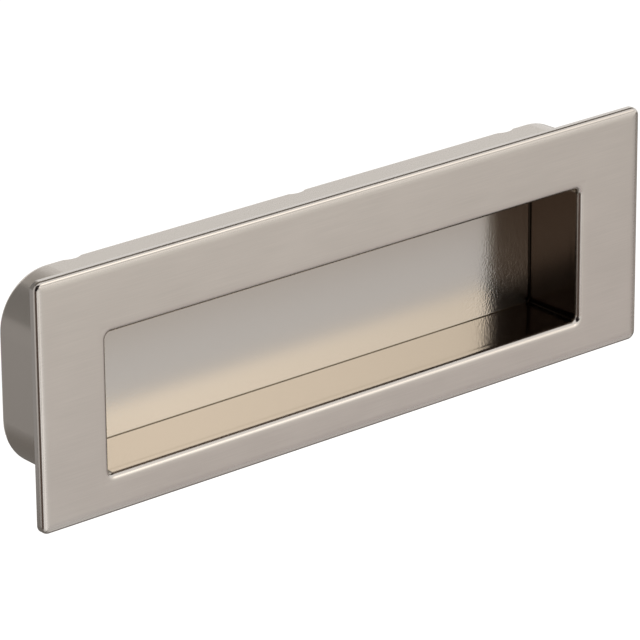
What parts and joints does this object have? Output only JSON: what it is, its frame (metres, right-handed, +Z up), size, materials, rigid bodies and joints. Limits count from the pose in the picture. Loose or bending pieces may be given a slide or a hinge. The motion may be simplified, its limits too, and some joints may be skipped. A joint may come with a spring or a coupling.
{
  "type": "recessed pull handle",
  "caption": "Flush finger pull with a rectangular face plate, an oblong finger pocket with a grip space behind its upper lip, and a rounded cup body fixed from behind.",
  "frame": {"origin": "middle of the flange, in the plane where the flange seats on the panel", "axes": "+X along the handle, +Y into the panel (the face looks towards -Y), +Z up, towards the lip that the fingers reach behind"},
  "size_m": [0.111, 0.0129, 0.0364],
  "materials": {
    "brushed_nickel": "nickel plated zinc casting, face brushed along its length, pocket left bright"
  },
  "bodies": {
    "root": {"handle_casting": "brushed_nickel"}
  },
  "joints": []
}
